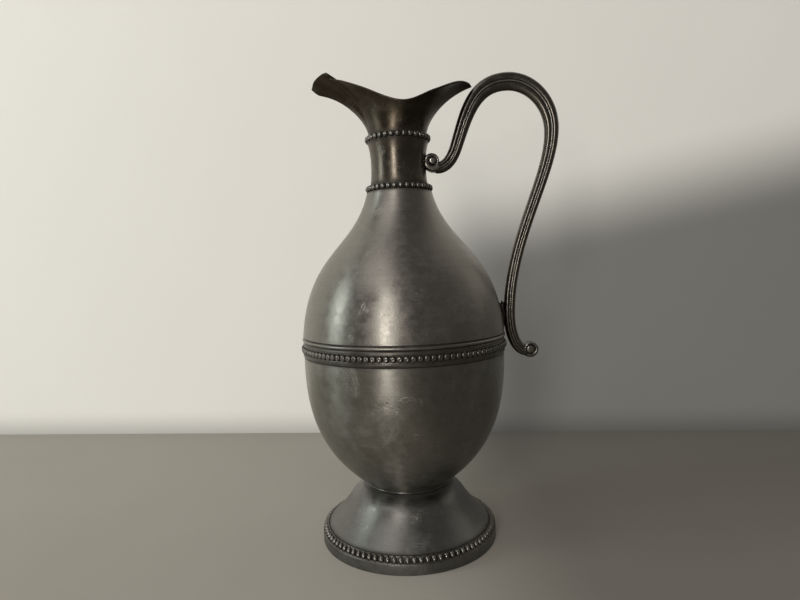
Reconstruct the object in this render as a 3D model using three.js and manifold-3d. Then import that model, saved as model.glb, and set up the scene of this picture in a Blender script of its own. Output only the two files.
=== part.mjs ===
// Pewter ewer on a bell foot, with beaded bands, a two-lipped mouth and a reeded scroll handle.
// Millimetres, +Z up. The table is z = 0, the ewer's axis is x = 0, y = 0 until the last lines,
// the pouring lip points along -X and the handle stands along +X.

import * as THREE from "three";
import { mergeVertices } from "three/addons/utils/BufferGeometryUtils.js";
import Module from "manifold-3d";

const wasm = await Module();
wasm.setup();

// Fits
const SLIP_FIT = 0.3; // radial clearance of every lap joint and of everything cut by a neighbour
const LAP_LENGTH = 4; // how far one shell slips into the next
const LAP_WALL = 1.2;
const WALL = 2; // spun and cast pewter shells

// Foot
const PLINTH_RADIUS = 61.3;
const PLINTH_HEIGHT = 7;
const PLINTH_WIDTH = 7;
const FOOT_STRIP_WIDTH = 4.2;
const FOOT_STRIP_HEIGHT = 4;
const FOOT_BEAD_COUNT = 90;
const FOOT_BEAD_RISE = 1.9;
const BELL_HEIGHT = 32.5;
const WAIST_RADIUS = 28.6;
const WAIST_LIP = 0.6; // the bright edge that stands proud of the bowl at the waist
const BELL_THROAT = { out: 16, down: 9 }; // handles of the ogee, from the waist
const BELL_SKIRT = { out: 6, down: 8 };
const BELL_RIM_SHELL = 2.8; // the bell is cast thicker where it stands on the plinth

// Bowl, belly band and shoulder
const BOWL_HEIGHT = 91.1; // from the waist to the ledge that carries the belly band
const BOWL_SWELL = { out: 37.6, up: 26.4 }; // handle of the side, from the waist
const BOWL_FLANK = 31.5; // how far the side stays upright below the band
const BODY_RADIUS = 69.6;
const BAND_HEIGHT = 10.2;
const BAND_SEAT = 0.7; // how deep the bowl and shoulder are turned down under the band
const BAND_PROUD = 0.7;
const BELLY_BEAD_COUNT = 109;
const BEAD_RADIUS = 1.65;
const BEAD_RISE = 1.35;
const RIM_MOULDING_HEIGHT = 2.2;
const RIM_MOULDING_PROUD = 1.3;
const GROOVE_DEPTH = 0.5;
const SHOULDER_HEIGHT = 100.6; // from the top of the band to the seat of the neck
const SHOULDER_FOOT_PROUD = 0.5;
const SHOULDER_BULGE = { in: 4.6, up: 59.5 }; // handles of the side, from the moulding and the neck
const SHOULDER_HOLLOW = { out: 9.6, down: 39 };

// Neck
const NECK_BASE_RADIUS = 20.5;
const NECK_MIDDLE_RADIUS = 19.3;
const NECK_PULL = 0.9; // how far inside the middle radius the curve's handles lie
const NECK_PULL_LOW = 0.35; // heights of those handles, as shares of the neck
const NECK_PULL_HIGH = 0.75;
const NECK_TOP_RADIUS = 21.1;
const NECK_BORE_RADIUS = 17.4;
const NECK_HEIGHT = 33.8; // from its seat to the ledge that carries the upper ring
const NECK_SPIGOT_HEIGHT = 2.1;
const RING_SEAT = 1.1;
const NECK_RING_HEIGHT = 4.6;
const NECK_RING_WIDTH = 1.1;
const NECK_BEAD_RISE = 1.6;
const LOWER_RING_BEAD_COUNT = 33;
const UPPER_RING_BEAD_COUNT = 32;

// Mouth, heights above the top of the neck
const MOUTH_WALL = 1.5;
const MOUTH_COLLAR_HEIGHT = 2.9;
const SPOUT_REACH = 58;
const SPOUT_TIP_RISE = 35.6;
const EAR_INSET = 10.5;
const EAR_RISE = 43;
const EAR_HALF_WIDTH = 11;
const LIP_CHEEK_RISE = 3.4; // the rim above the tip, half way round to the ear
const NOTCH_DROP = 3.4; // the notch behind the ear, below its peak
const NOTCH_BACK_DROP = 5.9;
const FLANK_RISE = 11.5; // the rim above the saddle, half way back from the lip
const SADDLE_RISE = 19.8;
const SADDLE_HALF_WIDTH = 24.5;
const SADDLE_OFFSET = 4.7;
const TONGUE_REACH = 51.4;
const TONGUE_RISE = 34.2;
const TONGUE_HALF_WIDTH = 9;
const TONGUE_ROOT_DROP = 7;
const TONGUE_CROWN = 0.8;
const RIM_FAN = 1.6; // how much the wall's columns crowd towards the sides of the collar
const WALL_LEAVE = { out: 0.03, up: 0.31 }; // handles of the wall's curve, as shares of its reach and rise
const WALL_ARRIVE = { out: 0.61, up: 0.21 };

// Handle
const HANDLE_TOP_RISE = 37.7; // above the top of the neck
const HANDLE_TOP_X = 77;
const HANDLE_OUTER_X = 106.6;
const HANDLE_OUTER_DROP = 33.4; // below the handle's top
const HANDLE_TOP_WIDTH = 12.6;
const HANDLE_SLIM_WIDTH = 8;
const HANDLE_THICKNESS = 7.4;
const REED_DEPTH = 0.7;
const HANDLE_BULGE_AT = 0.3; // where along the bar it is widest, and over how much of it
const HANDLE_BULGE_SPAN = 0.17;
const UPPER_SCROLL_RADIUS = 4.6;
const UPPER_SCROLL_RISE = 20.4; // its middle above the seat of the neck
const LOWER_SCROLL_RADIUS = 5.7;
const LOWER_SCROLL_X = 88.3;
const LOWER_SCROLL_DROP = 1.2; // its middle below the belly band
const SCROLL_WIDTH = 8.4;
const SCROLL_EYE_HEIGHT = 1;
const UPPER_PAD_THICKNESS = 1.3;
const LOWER_PAD_THICKNESS = 2;
const PAD_HALF_WIDTH = 3.2;
const UPPER_PAD_HALF_HEIGHT = 3;
const LOWER_PAD_HALF_HEIGHT = 7;
const LOWER_PAD_RISE = 11; // its middle above the shoulder's rim moulding
const PAD_SEAT_DEPTH = 6; // the raw pad behind its face, before the shell is cut out of it
const LOWER_PAD_SEAT_DEPTH = 8;

// Handles and joints of the handle's five curves
const BAR_START = { out: 2, down: 4 }; // from the upper scroll's middle
const BAR_START_RUN = { out: 8, down: 1 };
const BAR_RISE = { out: 17, up: 11.4 }; // from the upper scroll's middle
const BAR_RISE_BELOW = { in: 2.5, down: 8 };
const BAR_RISE_ABOVE = { out: 7, up: 20 };
const BAR_TOP_IN = 24;
const BAR_TOP_OUT = 15;
const BAR_OUTER_UP = 19.5;
const BAR_OUTER_DOWN = 32;
const BAR_LOW_UP = 52;
const BAR_LOW_DOWN = 12;
const BAR_END = { in: 2, down: 1.1 }; // from the lower scroll's middle
const BAR_END_RUN = { in: 8, up: 1 };

// Facets
const ROUND_STEPS = 32;
const CURVE_STEPS = 6;
const LONG_CURVE_STEPS = 10;
const RIM_HALF_STEPS = 20;
const MOUTH_ROWS = 5;
const HANDLE_STEPS = 36;
const SCROLL_STEPS = 16;
const PAD_CURVE_STEPS = 14;

// Heights that follow from the sizes above
const BELL_SEAT = PLINTH_HEIGHT;
const WAIST = BELL_SEAT + BELL_HEIGHT;
const BAND_BOTTOM = WAIST + BOWL_HEIGHT;
const BAND_TOP = BAND_BOTTOM + BAND_HEIGHT;
const SEAM = BAND_BOTTOM + BAND_HEIGHT / 2;
const NECK_SEAT = BAND_TOP + SHOULDER_HEIGHT;
const RING_LEDGE = NECK_SEAT + NECK_HEIGHT;
const NECK_TOP = RING_LEDGE + NECK_SPIGOT_HEIGHT;
const MOUTH_BASE_RADIUS = NECK_TOP_RADIUS - RING_SEAT;
const UPPER_SCROLL_HEIGHT = NECK_SEAT + UPPER_SCROLL_RISE;
const LOWER_SCROLL_HEIGHT = BAND_BOTTOM - LOWER_SCROLL_DROP;
const HANDLE_TOP_HEIGHT = NECK_TOP + HANDLE_TOP_RISE;
const HANDLE_OUTER_HEIGHT = HANDLE_TOP_HEIGHT - HANDLE_OUTER_DROP;

const SATIN_PEWTER = { color: 0x6f6d69, roughness: 0.38, metalness: 1 };
const DARK_PEWTER = { color: 0x45423e, roughness: 0.34, metalness: 1 };
const BRIGHT_SOLDER = { color: 0x9a9894, roughness: 0.3, metalness: 1 };

const point = (r, z) => new THREE.Vector2(r, z);

function bezier(start, leave, arrive, end, steps = CURVE_STEPS) {
  return new THREE.CubicBezierCurve(start, leave, arrive, end).getPoints(steps);
}

// Points moved to the left of the direction in which they run.
function offsetOutline(points, distance) {
  return points.map((here, index) => {
    const before = points[Math.max(index - 1, 0)];
    const after = points[Math.min(index + 1, points.length - 1)];
    const along = after.clone().sub(before).normalize();
    return point(here.x - along.y * distance, here.y + along.x * distance);
  });
}

function mergedShape(geometry) {
  const bare = geometry.clone();
  bare.deleteAttribute("normal");
  bare.deleteAttribute("uv");
  return mergeVertices(bare, 1e-5);
}

function signedVolume(geometry) {
  const position = geometry.getAttribute("position");
  const index = geometry.getIndex();
  const corner = [new THREE.Vector3(), new THREE.Vector3(), new THREE.Vector3()];
  let volume = 0;
  for (let i = 0; i < index.count; i += 3) {
    corner.forEach((vector, k) => vector.fromBufferAttribute(position, index.getX(i + k)));
    volume += corner[0].dot(corner[1].cross(corner[2])) / 6;
  }
  return volume;
}

// A closed solid with its faces pointing out, whichever way the outline ran.
function solidOf(geometry) {
  const shape = mergedShape(geometry);
  const triangles = Uint32Array.from(shape.getIndex().array);
  if (signedVolume(shape) < 0) {
    for (let i = 0; i < triangles.length; i += 3) {
      [triangles[i], triangles[i + 1]] = [triangles[i + 1], triangles[i]];
    }
  }
  const vertices = Float32Array.from(shape.getAttribute("position").array);
  return new wasm.Manifold(new wasm.Mesh({ numProp: 3, vertProperties: vertices, triVerts: triangles }));
}

function geometryOf(solid) {
  const mesh = solid.getMesh();
  const geometry = new THREE.BufferGeometry();
  geometry.setAttribute("position", new THREE.BufferAttribute(mesh.vertProperties, 3));
  geometry.setIndex(new THREE.BufferAttribute(mesh.triVerts, 1));
  geometry.computeVertexNormals();
  return geometry;
}

// A ring or cup turned about the ewer's axis from a closed outline of (radius, height) points.
function turned(outline, steps = ROUND_STEPS) {
  const closed = [...outline, outline[0]];
  const lathe = new THREE.LatheGeometry(closed, steps);
  return solidOf(lathe.rotateX(Math.PI / 2));
}

// A skin through equal rings of points, with a fan over each end.
function lofted(rings) {
  const count = rings[0].length;
  const corners = rings.flat();
  const triangles = [];
  for (let row = 0; row + 1 < rings.length; row += 1) {
    for (let k = 0; k < count; k += 1) {
      const a = row * count + k;
      const b = row * count + ((k + 1) % count);
      triangles.push(a, b, a + count, b, b + count, a + count);
    }
  }
  for (const row of [0, rings.length - 1]) {
    const middle = new THREE.Vector3();
    rings[row].forEach((corner) => middle.addScaledVector(corner, 1 / count));
    corners.push(middle);
    const centre = corners.length - 1;
    for (let k = 0; k < count; k += 1) {
      const a = row * count + k;
      const b = row * count + ((k + 1) % count);
      triangles.push(...(row === 0 ? [centre, b, a] : [centre, a, b]));
    }
  }
  return solidOf(geometryFrom(corners, triangles));
}

function geometryFrom(corners, triangles) {
  const geometry = new THREE.BufferGeometry().setFromPoints(corners);
  geometry.setIndex(triangles);
  return geometry;
}

// A beaded strip: the outline's points named in swollen stand out by rise at each bead's middle.
function beadedStrip(outline, swollen, rise, count) {
  const profiles = [];
  for (let k = 0; k < 2 * count; k += 1) {
    const angle = (k / count) * Math.PI;
    const proud = k % 2 === 0 ? rise : 0;
    profiles.push(outline.map((corner, index) => {
      const move = index === swollen ? proud : 0;
      const radius = corner.x + move;
      return new THREE.Vector3(radius * Math.cos(angle), radius * Math.sin(angle), corner.y);
    }));
  }
  return solidOf(ringSkin(profiles));
}

function joined(base, pieces) {
  return pieces.reduce((whole, piece) => whole.add(piece), base);
}

const STRIP_INNER_RADIUS = PLINTH_RADIUS - FOOT_STRIP_WIDTH;
const BELL_RIM_RADIUS = STRIP_INNER_RADIUS - SLIP_FIT;
const BELL_RIM_HEIGHT = BELL_SEAT + FOOT_STRIP_HEIGHT;
const BELL_BORE_RADIUS = WAIST_RADIUS - WALL;

function footPlinth() {
  const inner = PLINTH_RADIUS - PLINTH_WIDTH;
  return turned([
    point(inner, 0),
    point(PLINTH_RADIUS, 0),
    point(PLINTH_RADIUS, PLINTH_HEIGHT),
    point(inner, PLINTH_HEIGHT),
  ]);
}

function footBeadStrip() {
  const edge = PLINTH_RADIUS - SLIP_FIT;
  const slopeMiddle = (STRIP_INNER_RADIUS + edge) / 2;
  return beadedStrip([
    point(STRIP_INNER_RADIUS, PLINTH_HEIGHT),
    point(edge, PLINTH_HEIGHT),
    point(slopeMiddle, PLINTH_HEIGHT + FOOT_STRIP_HEIGHT / 2),
    point(STRIP_INNER_RADIUS + SLIP_FIT, BELL_RIM_HEIGHT),
    point(STRIP_INNER_RADIUS, BELL_RIM_HEIGHT),
  ], 2, FOOT_BEAD_RISE, FOOT_BEAD_COUNT);
}

function footBell() {
  const ogee = bezier(
    point(WAIST_RADIUS + WAIST_LIP, WAIST),
    point(WAIST_RADIUS + BELL_THROAT.out, WAIST - BELL_THROAT.down),
    point(WAIST_RADIUS + BELL_SKIRT.out, WAIST - BELL_SKIRT.down),
    point(BELL_RIM_RADIUS, BELL_RIM_HEIGHT),
    LONG_CURVE_STEPS,
  );
  const inside = offsetOutline(ogee, -WALL).reverse();
  return turned([
    ...ogee,
    point(BELL_RIM_RADIUS, BELL_SEAT),
    point(BELL_RIM_RADIUS - BELL_RIM_SHELL, BELL_SEAT),
    ...inside,
    point(BELL_BORE_RADIUS, inside.at(-1).y - WALL / 2),
    point(BELL_BORE_RADIUS, WAIST),
  ]);
}

const BAND_SEAT_RADIUS = BODY_RADIUS - BAND_SEAT;
const BOWL_MOUTH_RADIUS = BODY_RADIUS - WALL;

function bowl() {
  const side = bezier(
    point(WAIST_RADIUS, WAIST),
    point(WAIST_RADIUS + BOWL_SWELL.out, WAIST + BOWL_SWELL.up),
    point(BODY_RADIUS, BAND_BOTTOM - BOWL_FLANK),
    point(BODY_RADIUS, BAND_BOTTOM),
    LONG_CURVE_STEPS,
  );
  const spigot = BELL_BORE_RADIUS - SLIP_FIT;
  const floor = WAIST - LAP_LENGTH / 2;
  return turned([
    point(0, floor),
    point(spigot, floor),
    point(spigot, WAIST),
    ...side,
    point(BAND_SEAT_RADIUS, BAND_BOTTOM),
    point(BAND_SEAT_RADIUS, SEAM),
    point(BOWL_MOUTH_RADIUS, SEAM),
    ...offsetOutline(side, WALL).reverse(),
    point(0, floor + WALL),
  ]);
}

function bellyBand() {
  const inner = BAND_SEAT_RADIUS + SLIP_FIT;
  const edge = BODY_RADIUS + BAND_PROUD / 2;
  const swell = BODY_RADIUS + BAND_PROUD;
  return beadedStrip([
    point(inner, BAND_BOTTOM),
    point(edge, BAND_BOTTOM),
    point(swell, SEAM - BEAD_RADIUS),
    point(swell, SEAM),
    point(swell, SEAM + BEAD_RADIUS),
    point(edge, BAND_TOP),
    point(inner, BAND_TOP),
  ], 3, BEAD_RISE, BELLY_BEAD_COUNT);
}

const MOULDING_TOP = BAND_TOP + RIM_MOULDING_HEIGHT;
const SHOULDER_TOP_RADIUS = NECK_BASE_RADIUS + SLIP_FIT + NECK_RING_WIDTH + WALL / 3;

function shoulderSide() {
  return bezier(
    point(BODY_RADIUS + SHOULDER_FOOT_PROUD, MOULDING_TOP + GROOVE_DEPTH),
    point(BODY_RADIUS - SHOULDER_BULGE.in, MOULDING_TOP + SHOULDER_BULGE.up),
    point(SHOULDER_TOP_RADIUS + SHOULDER_HOLLOW.out, NECK_SEAT - SHOULDER_HOLLOW.down),
    point(SHOULDER_TOP_RADIUS, NECK_SEAT),
    LONG_CURVE_STEPS,
  );
}

function shoulder() {
  const side = shoulderSide();
  const lapRadius = BOWL_MOUTH_RADIUS - SLIP_FIT;
  const lapBore = lapRadius - LAP_WALL;
  const neckBore = NECK_BORE_RADIUS + LAP_WALL + SLIP_FIT;
  const inside = offsetOutline(side, WALL).reverse();
  inside.shift();
  return turned([
    point(lapBore, SEAM - LAP_LENGTH),
    point(lapRadius, SEAM - LAP_LENGTH),
    point(lapRadius, SEAM),
    point(BAND_SEAT_RADIUS, SEAM),
    point(BAND_SEAT_RADIUS, BAND_TOP),
    point(BODY_RADIUS + RIM_MOULDING_PROUD * 0.7, BAND_TOP),
    point(BODY_RADIUS + RIM_MOULDING_PROUD, BAND_TOP + RIM_MOULDING_HEIGHT * 0.4),
    point(BODY_RADIUS + RIM_MOULDING_PROUD * 0.6, BAND_TOP + RIM_MOULDING_HEIGHT * 0.8),
    point(BODY_RADIUS - GROOVE_DEPTH / 2, MOULDING_TOP),
    ...side,
    point(neckBore, NECK_SEAT),
    point(neckBore, NECK_SEAT - WALL),
    ...inside,
    point(lapBore, BAND_TOP),
  ]);
}

function beadRing(innerRadius, seat, beadCount) {
  const outer = innerRadius + NECK_RING_WIDTH;
  return beadedStrip([
    point(innerRadius, seat),
    point(outer, seat),
    point(outer, seat + NECK_RING_HEIGHT / 2),
    point(outer, seat + NECK_RING_HEIGHT),
    point(innerRadius, seat + NECK_RING_HEIGHT),
  ], 2, NECK_BEAD_RISE, beadCount);
}

function lowerNeckRing() {
  return beadRing(NECK_BASE_RADIUS + SLIP_FIT, NECK_SEAT, LOWER_RING_BEAD_COUNT);
}

function upperNeckRing() {
  return beadRing(MOUTH_BASE_RADIUS + SLIP_FIT, RING_LEDGE, UPPER_RING_BEAD_COUNT);
}

function neckSide() {
  return bezier(
    point(NECK_BASE_RADIUS, NECK_SEAT),
    point(NECK_MIDDLE_RADIUS - NECK_PULL, NECK_SEAT + NECK_HEIGHT * NECK_PULL_LOW),
    point(NECK_MIDDLE_RADIUS - NECK_PULL, NECK_SEAT + NECK_HEIGHT * NECK_PULL_HIGH),
    point(NECK_TOP_RADIUS, RING_LEDGE),
  );
}

function neckTube() {
  return turned([
    point(NECK_BORE_RADIUS, NECK_SEAT - LAP_LENGTH),
    point(NECK_BORE_RADIUS + LAP_WALL, NECK_SEAT - LAP_LENGTH),
    point(NECK_BORE_RADIUS + LAP_WALL, NECK_SEAT),
    ...neckSide(),
    point(MOUTH_BASE_RADIUS, RING_LEDGE),
    point(MOUTH_BASE_RADIUS, NECK_TOP),
    point(NECK_BORE_RADIUS, NECK_TOP),
  ]);
}

// Half of the rim as seen from above, from the pouring lip round to the rear tongue.
function rimCurve() {
  const tip = NECK_TOP + SPOUT_TIP_RISE;
  const ear = NECK_TOP + EAR_RISE;
  const saddle = NECK_TOP + SADDLE_RISE;
  const tongue = NECK_TOP + TONGUE_RISE;
  const places = [
    [-SPOUT_REACH, 0, tip],
    [-SPOUT_REACH + EAR_INSET * 0.3, EAR_HALF_WIDTH * 0.65, tip + LIP_CHEEK_RISE],
    [-SPOUT_REACH + EAR_INSET, EAR_HALF_WIDTH, ear],
    [-SPOUT_REACH + EAR_INSET * 1.3, EAR_HALF_WIDTH, ear - NOTCH_DROP],
    [-SPOUT_REACH + EAR_INSET * 2, EAR_HALF_WIDTH * 1.2, ear - NOTCH_BACK_DROP],
    [-SADDLE_HALF_WIDTH, SADDLE_HALF_WIDTH * 0.73, saddle + FLANK_RISE],
    [SADDLE_OFFSET, SADDLE_HALF_WIDTH, saddle],
    [TONGUE_REACH / 2, SADDLE_HALF_WIDTH * 0.82, tongue - TONGUE_ROOT_DROP],
    [TONGUE_REACH - TONGUE_HALF_WIDTH, TONGUE_HALF_WIDTH * 1.25, tongue],
    [TONGUE_REACH - TONGUE_HALF_WIDTH / 4, TONGUE_HALF_WIDTH / 2, tongue + TONGUE_CROWN],
    [TONGUE_REACH, 0, tongue],
  ];
  const corners = places.map((place) => new THREE.Vector3(...place));
  return new THREE.CatmullRomCurve3(corners, false, "centripetal");
}

function rimPoints(steps) {
  const half = rimCurve().getSpacedPoints(steps);
  const mirrored = half.slice(1, -1).reverse().map((p) => new THREE.Vector3(p.x, -p.y, p.z));
  return [...half, ...mirrored];
}

// The outer face of the mouth: a trumpet from the round collar up to the rim.
function mouthColumn(rim, rows) {
  const angle = Math.atan2(RIM_FAN * rim.y, rim.x);
  const around = new THREE.Vector3(Math.cos(angle), Math.sin(angle), 0);
  const collarTop = NECK_TOP + MOUTH_COLLAR_HEIGHT;
  const foot = around.clone().multiplyScalar(MOUTH_BASE_RADIUS).setZ(collarTop);
  const reach = Math.hypot(rim.x, rim.y) - MOUTH_BASE_RADIUS;
  const rise = rim.z - collarTop;
  const leave = foot.clone().addScaledVector(around, reach * WALL_LEAVE.out);
  leave.z += rise * WALL_LEAVE.up;
  const outward = new THREE.Vector3(rim.x, rim.y, 0).normalize();
  const arrive = rim.clone().addScaledVector(outward, -reach * WALL_ARRIVE.out);
  arrive.z -= rise * WALL_ARRIVE.up;
  const curve = new THREE.CubicBezierCurve3(foot, leave, arrive, rim);
  const collar = around.clone().multiplyScalar(MOUTH_BASE_RADIUS).setZ(NECK_TOP);
  return [collar, ...curve.getPoints(rows)];
}

function inwardNormal(columns, k, row) {
  const count = columns.length;
  const column = columns[k];
  const up = column[Math.min(row + 1, column.length - 1)].clone().sub(column[Math.max(row - 1, 0)]);
  const across = columns[(k + 1) % count][row].clone().sub(columns[(k - 1 + count) % count][row]);
  const normal = up.cross(across).normalize();
  if (row === 0) {
    normal.setZ(0).normalize();
  }
  return normal;
}

function mouth() {
  const outer = rimPoints(RIM_HALF_STEPS).map((rim) => mouthColumn(rim, MOUTH_ROWS));
  const sign = Math.sign(inwardNormal(outer, 0, 0).dot(outer[0][0]));
  const profiles = outer.map((column, k) => {
    const inner = column.map((corner, row) => (
      corner.clone().addScaledVector(inwardNormal(outer, k, row), -sign * MOUTH_WALL)
    ));
    return [...column, ...inner.reverse()];
  });
  const shell = solidOf(ringSkin(profiles));
  const lapRadius = NECK_BORE_RADIUS - SLIP_FIT;
  const collar = turned([
    point(lapRadius - LAP_WALL, NECK_TOP - LAP_LENGTH),
    point(lapRadius, NECK_TOP - LAP_LENGTH),
    point(lapRadius, NECK_TOP),
    point(MOUTH_BASE_RADIUS - MOUTH_WALL / 2, NECK_TOP),
    point(MOUTH_BASE_RADIUS - MOUTH_WALL / 2, NECK_TOP + WALL / 2),
    point(lapRadius - LAP_WALL, NECK_TOP + WALL / 2),
  ]);
  return shell.add(collar);
}

// Closed profiles joined side by side all the way round.
function ringSkin(profiles) {
  const rows = profiles[0].length;
  const triangles = [];
  profiles.forEach((_, k) => {
    const next = (k + 1) % profiles.length;
    for (let row = 0; row < rows; row += 1) {
      const above = (row + 1) % rows;
      const a = k * rows + row;
      const b = next * rows + row;
      const c = k * rows + above;
      const d = next * rows + above;
      triangles.push(a, b, c, b, d, c);
    }
  });
  return geometryFrom(profiles.flat(), triangles);
}

const UPPER_PAD_FACE = NECK_MIDDLE_RADIUS + UPPER_PAD_THICKNESS;
const UPPER_SCROLL_X = UPPER_PAD_FACE + UPPER_SCROLL_RADIUS * 0.7;
const LOWER_PAD_FACE = BODY_RADIUS + LOWER_PAD_THICKNESS;
const LOWER_PAD_HEIGHT = MOULDING_TOP + LOWER_PAD_RISE;
const HANDLE_LOW_X = LOWER_PAD_FACE + HANDLE_SLIM_WIDTH * 0.42;

// The handle's middle line lies in the plane y = 0.
function handlePath() {
  const at = (x, z) => new THREE.Vector3(x, 0, z);
  const curve = (...places) => new THREE.CubicBezierCurve3(...places);
  const start = at(UPPER_SCROLL_X + BAR_START.out, UPPER_SCROLL_HEIGHT - BAR_START.down);
  const startRun = at(start.x + BAR_START_RUN.out, start.z - BAR_START_RUN.down);
  const rise = at(UPPER_SCROLL_X + BAR_RISE.out, UPPER_SCROLL_HEIGHT + BAR_RISE.up);
  const riseBelow = at(rise.x - BAR_RISE_BELOW.in, rise.z - BAR_RISE_BELOW.down);
  const riseAbove = at(rise.x + BAR_RISE_ABOVE.out, rise.z + BAR_RISE_ABOVE.up);
  const top = at(HANDLE_TOP_X, HANDLE_TOP_HEIGHT);
  const outer = at(HANDLE_OUTER_X, HANDLE_OUTER_HEIGHT);
  const low = at(HANDLE_LOW_X, LOWER_PAD_HEIGHT);
  const end = at(LOWER_SCROLL_X - BAR_END.in, LOWER_SCROLL_HEIGHT - BAR_END.down);
  const endRun = at(end.x - BAR_END_RUN.in, end.z + BAR_END_RUN.up);
  const path = new THREE.CurvePath();
  path.add(curve(start, startRun, riseBelow, rise));
  path.add(curve(rise, riseAbove, at(top.x - BAR_TOP_IN, top.z), top));
  path.add(curve(top, at(top.x + BAR_TOP_OUT, top.z), at(outer.x, outer.z + BAR_OUTER_UP), outer));
  path.add(curve(outer, at(outer.x, outer.z - BAR_OUTER_DOWN), at(low.x, low.z + BAR_LOW_UP), low));
  path.add(curve(low, at(low.x, low.z - BAR_LOW_DOWN), endRun, end));
  return path;
}

function handleWidth(share) {
  const bulge = Math.exp(-(((share - HANDLE_BULGE_AT) / HANDLE_BULGE_SPAN) ** 2));
  return HANDLE_SLIM_WIDTH + (HANDLE_TOP_WIDTH - HANDLE_SLIM_WIDTH) * bulge;
}

// Two reeds with a groove between them on each side face.
function reededSection(width) {
  const half = width / 2;
  const side = HANDLE_THICKNESS / 2;
  const quarter = [
    [half, side * 0.35],
    [half * 0.75, side * 0.9],
    [half * 0.3, side],
    [half * 0.05, side - REED_DEPTH],
  ];
  const upper = [...quarter, ...[...quarter].reverse().map(([across, out]) => [-across, out])];
  return [...upper, ...[...upper].reverse().map(([across, out]) => [across, -out])];
}

function handleBar() {
  const path = handlePath();
  const rings = [];
  for (let k = 0; k <= HANDLE_STEPS; k += 1) {
    const share = k / HANDLE_STEPS;
    const middle = path.getPointAt(share);
    const along = path.getTangentAt(share);
    const across = new THREE.Vector3(-along.z, 0, along.x);
    const section = reededSection(handleWidth(share));
    rings.push(section.map(([a, out]) => middle.clone().addScaledVector(across, a).setY(out)));
  }
  return lofted(rings);
}

// A scroll end: a turned drum across the handle with a raised eye on each face.
function scroll(radius, x, z) {
  const half = SCROLL_WIDTH / 2;
  const outline = [
    point(0, -half - SCROLL_EYE_HEIGHT),
    point(radius * 0.45, -half - SCROLL_EYE_HEIGHT / 2),
    point(radius * 0.6, -half + REED_DEPTH),
    point(radius * 0.85, -half),
    point(radius, -half * 0.7),
    point(radius, half * 0.7),
    point(radius * 0.85, half),
    point(radius * 0.6, half - REED_DEPTH),
    point(radius * 0.45, half + SCROLL_EYE_HEIGHT / 2),
    point(0, half + SCROLL_EYE_HEIGHT),
  ];
  return solidOf(new THREE.LatheGeometry(outline, SCROLL_STEPS).translate(x, 0, z));
}

// A block that ends on a pad's flat face and takes away everything behind it.
function behindFace(face, middle, halfHeight) {
  const depth = 2 * HANDLE_TOP_WIDTH;
  const block = new THREE.BoxGeometry(depth, 4 * SCROLL_WIDTH, 2 * halfHeight);
  return solidOf(block.translate(face - depth / 2, 0, middle));
}

function handle() {
  const casting = joined(handleBar(), [
    scroll(UPPER_SCROLL_RADIUS, UPPER_SCROLL_X, UPPER_SCROLL_HEIGHT),
    scroll(LOWER_SCROLL_RADIUS, LOWER_SCROLL_X, LOWER_SCROLL_HEIGHT),
  ]);
  return casting
    .subtract(behindFace(UPPER_PAD_FACE, UPPER_SCROLL_HEIGHT, 3 * UPPER_SCROLL_RADIUS))
    .subtract(behindFace(LOWER_PAD_FACE, LOWER_PAD_HEIGHT, 5 * LOWER_PAD_HALF_HEIGHT));
}

function padBlock(face, depth, middle, halfHeight) {
  const outline = new THREE.Shape();
  outline.absellipse(0, 0, PAD_HALF_WIDTH, halfHeight, 0, 2 * Math.PI);
  const settings = { depth, bevelEnabled: false, curveSegments: PAD_CURVE_STEPS };
  const block = new THREE.ExtrudeGeometry(outline, settings);
  block.rotateX(Math.PI / 2).rotateZ(Math.PI / 2);
  return solidOf(block.translate(face - depth, 0, middle));
}

// A full-depth core of the shell that a pad is soldered to, larger all round by the slip fit.
function grownCore(side) {
  const grown = offsetOutline(side, -SLIP_FIT);
  return turned([point(0, grown[0].y), ...grown, point(0, grown.at(-1).y)]);
}

function upperHandlePad() {
  const block = padBlock(UPPER_PAD_FACE, PAD_SEAT_DEPTH, UPPER_SCROLL_HEIGHT, UPPER_PAD_HALF_HEIGHT);
  return block.subtract(grownCore(neckSide()));
}

function lowerHandlePad() {
  const block = padBlock(LOWER_PAD_FACE, LOWER_PAD_SEAT_DEPTH, LOWER_PAD_HEIGHT, LOWER_PAD_HALF_HEIGHT);
  return block.subtract(grownCore(shoulderSide()));
}

function solderRing(radius, seat, rise, width) {
  return turned([point(radius, seat), point(radius - width, seat), point(radius, seat - rise)]);
}

// Solder run into the corner under the plinth's top edge, inside the foot.
function footSolder() {
  const bellInside = BELL_RIM_RADIUS - BELL_RIM_SHELL;
  const plinthInside = PLINTH_RADIUS - PLINTH_WIDTH;
  return turned([
    point(bellInside - SLIP_FIT, PLINTH_HEIGHT),
    point(plinthInside - SLIP_FIT, PLINTH_HEIGHT - WALL),
    point(plinthInside - SLIP_FIT - WALL, PLINTH_HEIGHT),
  ]);
}

function waistSolder() {
  const radius = BELL_BORE_RADIUS - SLIP_FIT;
  return solderRing(radius, WAIST - LAP_LENGTH / 2, WALL * 0.75, WALL);
}

function addPiece(group, name, solid, finish) {
  const mesh = new THREE.Mesh(geometryOf(solid), new THREE.MeshStandardMaterial(finish));
  mesh.name = name;
  group.add(mesh);
}

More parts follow.
